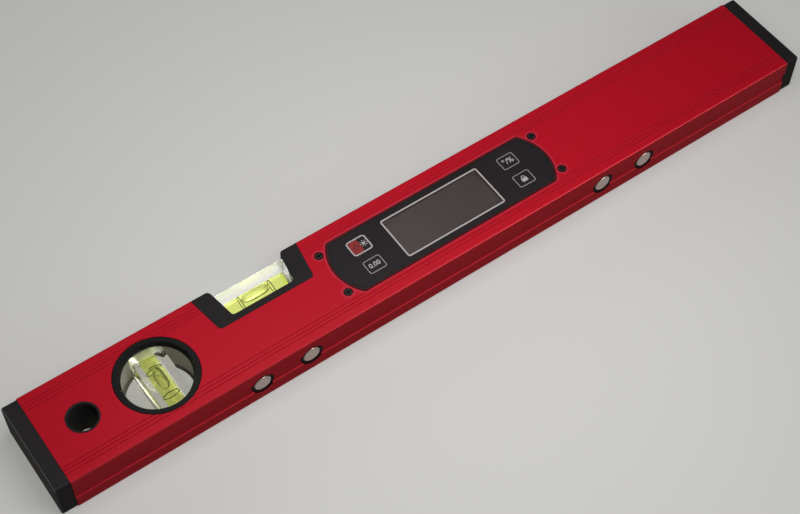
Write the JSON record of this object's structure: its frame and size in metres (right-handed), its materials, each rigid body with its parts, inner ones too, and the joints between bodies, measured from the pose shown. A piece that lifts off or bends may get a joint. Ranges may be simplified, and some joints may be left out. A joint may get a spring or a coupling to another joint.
{
  "type": "digital spirit level",
  "caption": "Digital spirit level in a red box section with level and plumb vials, a display panel with keys, base magnets and a hang hole.",
  "frame": {"origin": "middle of the back face, with the level lying on its back", "axes": "+X along the length away from the hang hole, +Y from the measuring edge to the edge with the vial notch, +Z out of the display face"},
  "size_m": [0.4, 0.047, 0.021],
  "materials": {
    "red_coated_aluminium": "satin red coat on extruded aluminium",
    "black_plastic": "fine moulded texture",
    "panel_film": "matt printed film",
    "clear_acrylic": "polished clear acrylic",
    "vial_fluid": "clear yellow-green fluid",
    "ring_ink": "black",
    "nickel_plate": "nickel-plated magnet",
    "display_glass": "grey reflective display",
    "strip_rubber": "layered elastomer",
    "board_green": "solder mask",
    "chip_plastic": "moulded",
    "black_steel": "blackened screw",
    "spring_steel": "plated sheet",
    "cell_jacket": "printed jacket left plain"
  },
  "bodies": {
    "level": {"body_profile": "red_coated_aluminium", "left_end_cap": "black_plastic", "right_end_cap": "black_plastic", "hang_bush_front": "black_plastic", "hang_bush_rear": "black_plastic", "plumb_bezel_front": "black_plastic", "plumb_bezel_rear": "black_plastic", "vial_cradle": "black_plastic", "magnet_cups": "black_plastic", "display_housing": "black_plastic", "battery_box": "black_plastic", "overlay_film": "panel_film", "plumb_window_front": "clear_acrylic", "plumb_window_rear": "clear_acrylic", "plumb_vial_block": "clear_acrylic", "plumb_vial_plug": "clear_acrylic", "level_vial_block": "clear_acrylic", "level_vial_plug": "clear_acrylic", "display_lens": "clear_acrylic", "plumb_vial_fluid": "vial_fluid", "level_vial_fluid": "vial_fluid", "plumb_vial_rings": "ring_ink", "level_vial_rings": "ring_ink", "base_magnets": "nickel_plate", "lcd_panel": "display_glass", "contact_strips": "strip_rubber", "circuit_board": "board_green", "tilt_sensor": "chip_plastic", "controller_chip": "chip_plastic", "tact_switches": "chip_plastic", "module_screws": "black_steel", "board_screws": "black_steel", "contact_positive": "spring_steel", "contact_negative": "spring_steel", "contact_bridge": "spring_steel", "battery_cells": "cell_jacket"},
    "power_key": {"key_power": "panel_film", "plunger_power": "chip_plastic"},
    "zero_key": {"key_zero": "panel_film", "plunger_zero": "chip_plastic"},
    "mode_key": {"key_mode": "panel_film", "plunger_mode": "chip_plastic"},
    "hold_key": {"key_hold": "panel_film", "plunger_hold": "chip_plastic"},
    "door": {"battery_door": "black_plastic"}
  },
  "joints": [
    {"name": "power_key_press", "type": "slide", "parent": "level", "child": "power_key", "axis": [0, 0, -1], "range_m": [0, 0.00035], "stiffness_N_per_m": 2000},
    {"name": "zero_key_press", "type": "slide", "parent": "level", "child": "zero_key", "axis": [0, 0, -1], "range_m": [0, 0.00035], "stiffness_N_per_m": 2000},
    {"name": "mode_key_press", "type": "slide", "parent": "level", "child": "mode_key", "axis": [0, 0, -1], "range_m": [0, 0.00035], "stiffness_N_per_m": 2000},
    {"name": "hold_key_press", "type": "slide", "parent": "level", "child": "hold_key", "axis": [0, 0, -1], "range_m": [0, 0.00035], "stiffness_N_per_m": 2000},
    {"name": "door_hinge", "type": "hinge", "parent": "level", "child": "door", "pos_m": [-0.01825, 0, 0.0009], "axis": [0, 1, 0], "range_deg": [0, 90]}
  ]
}
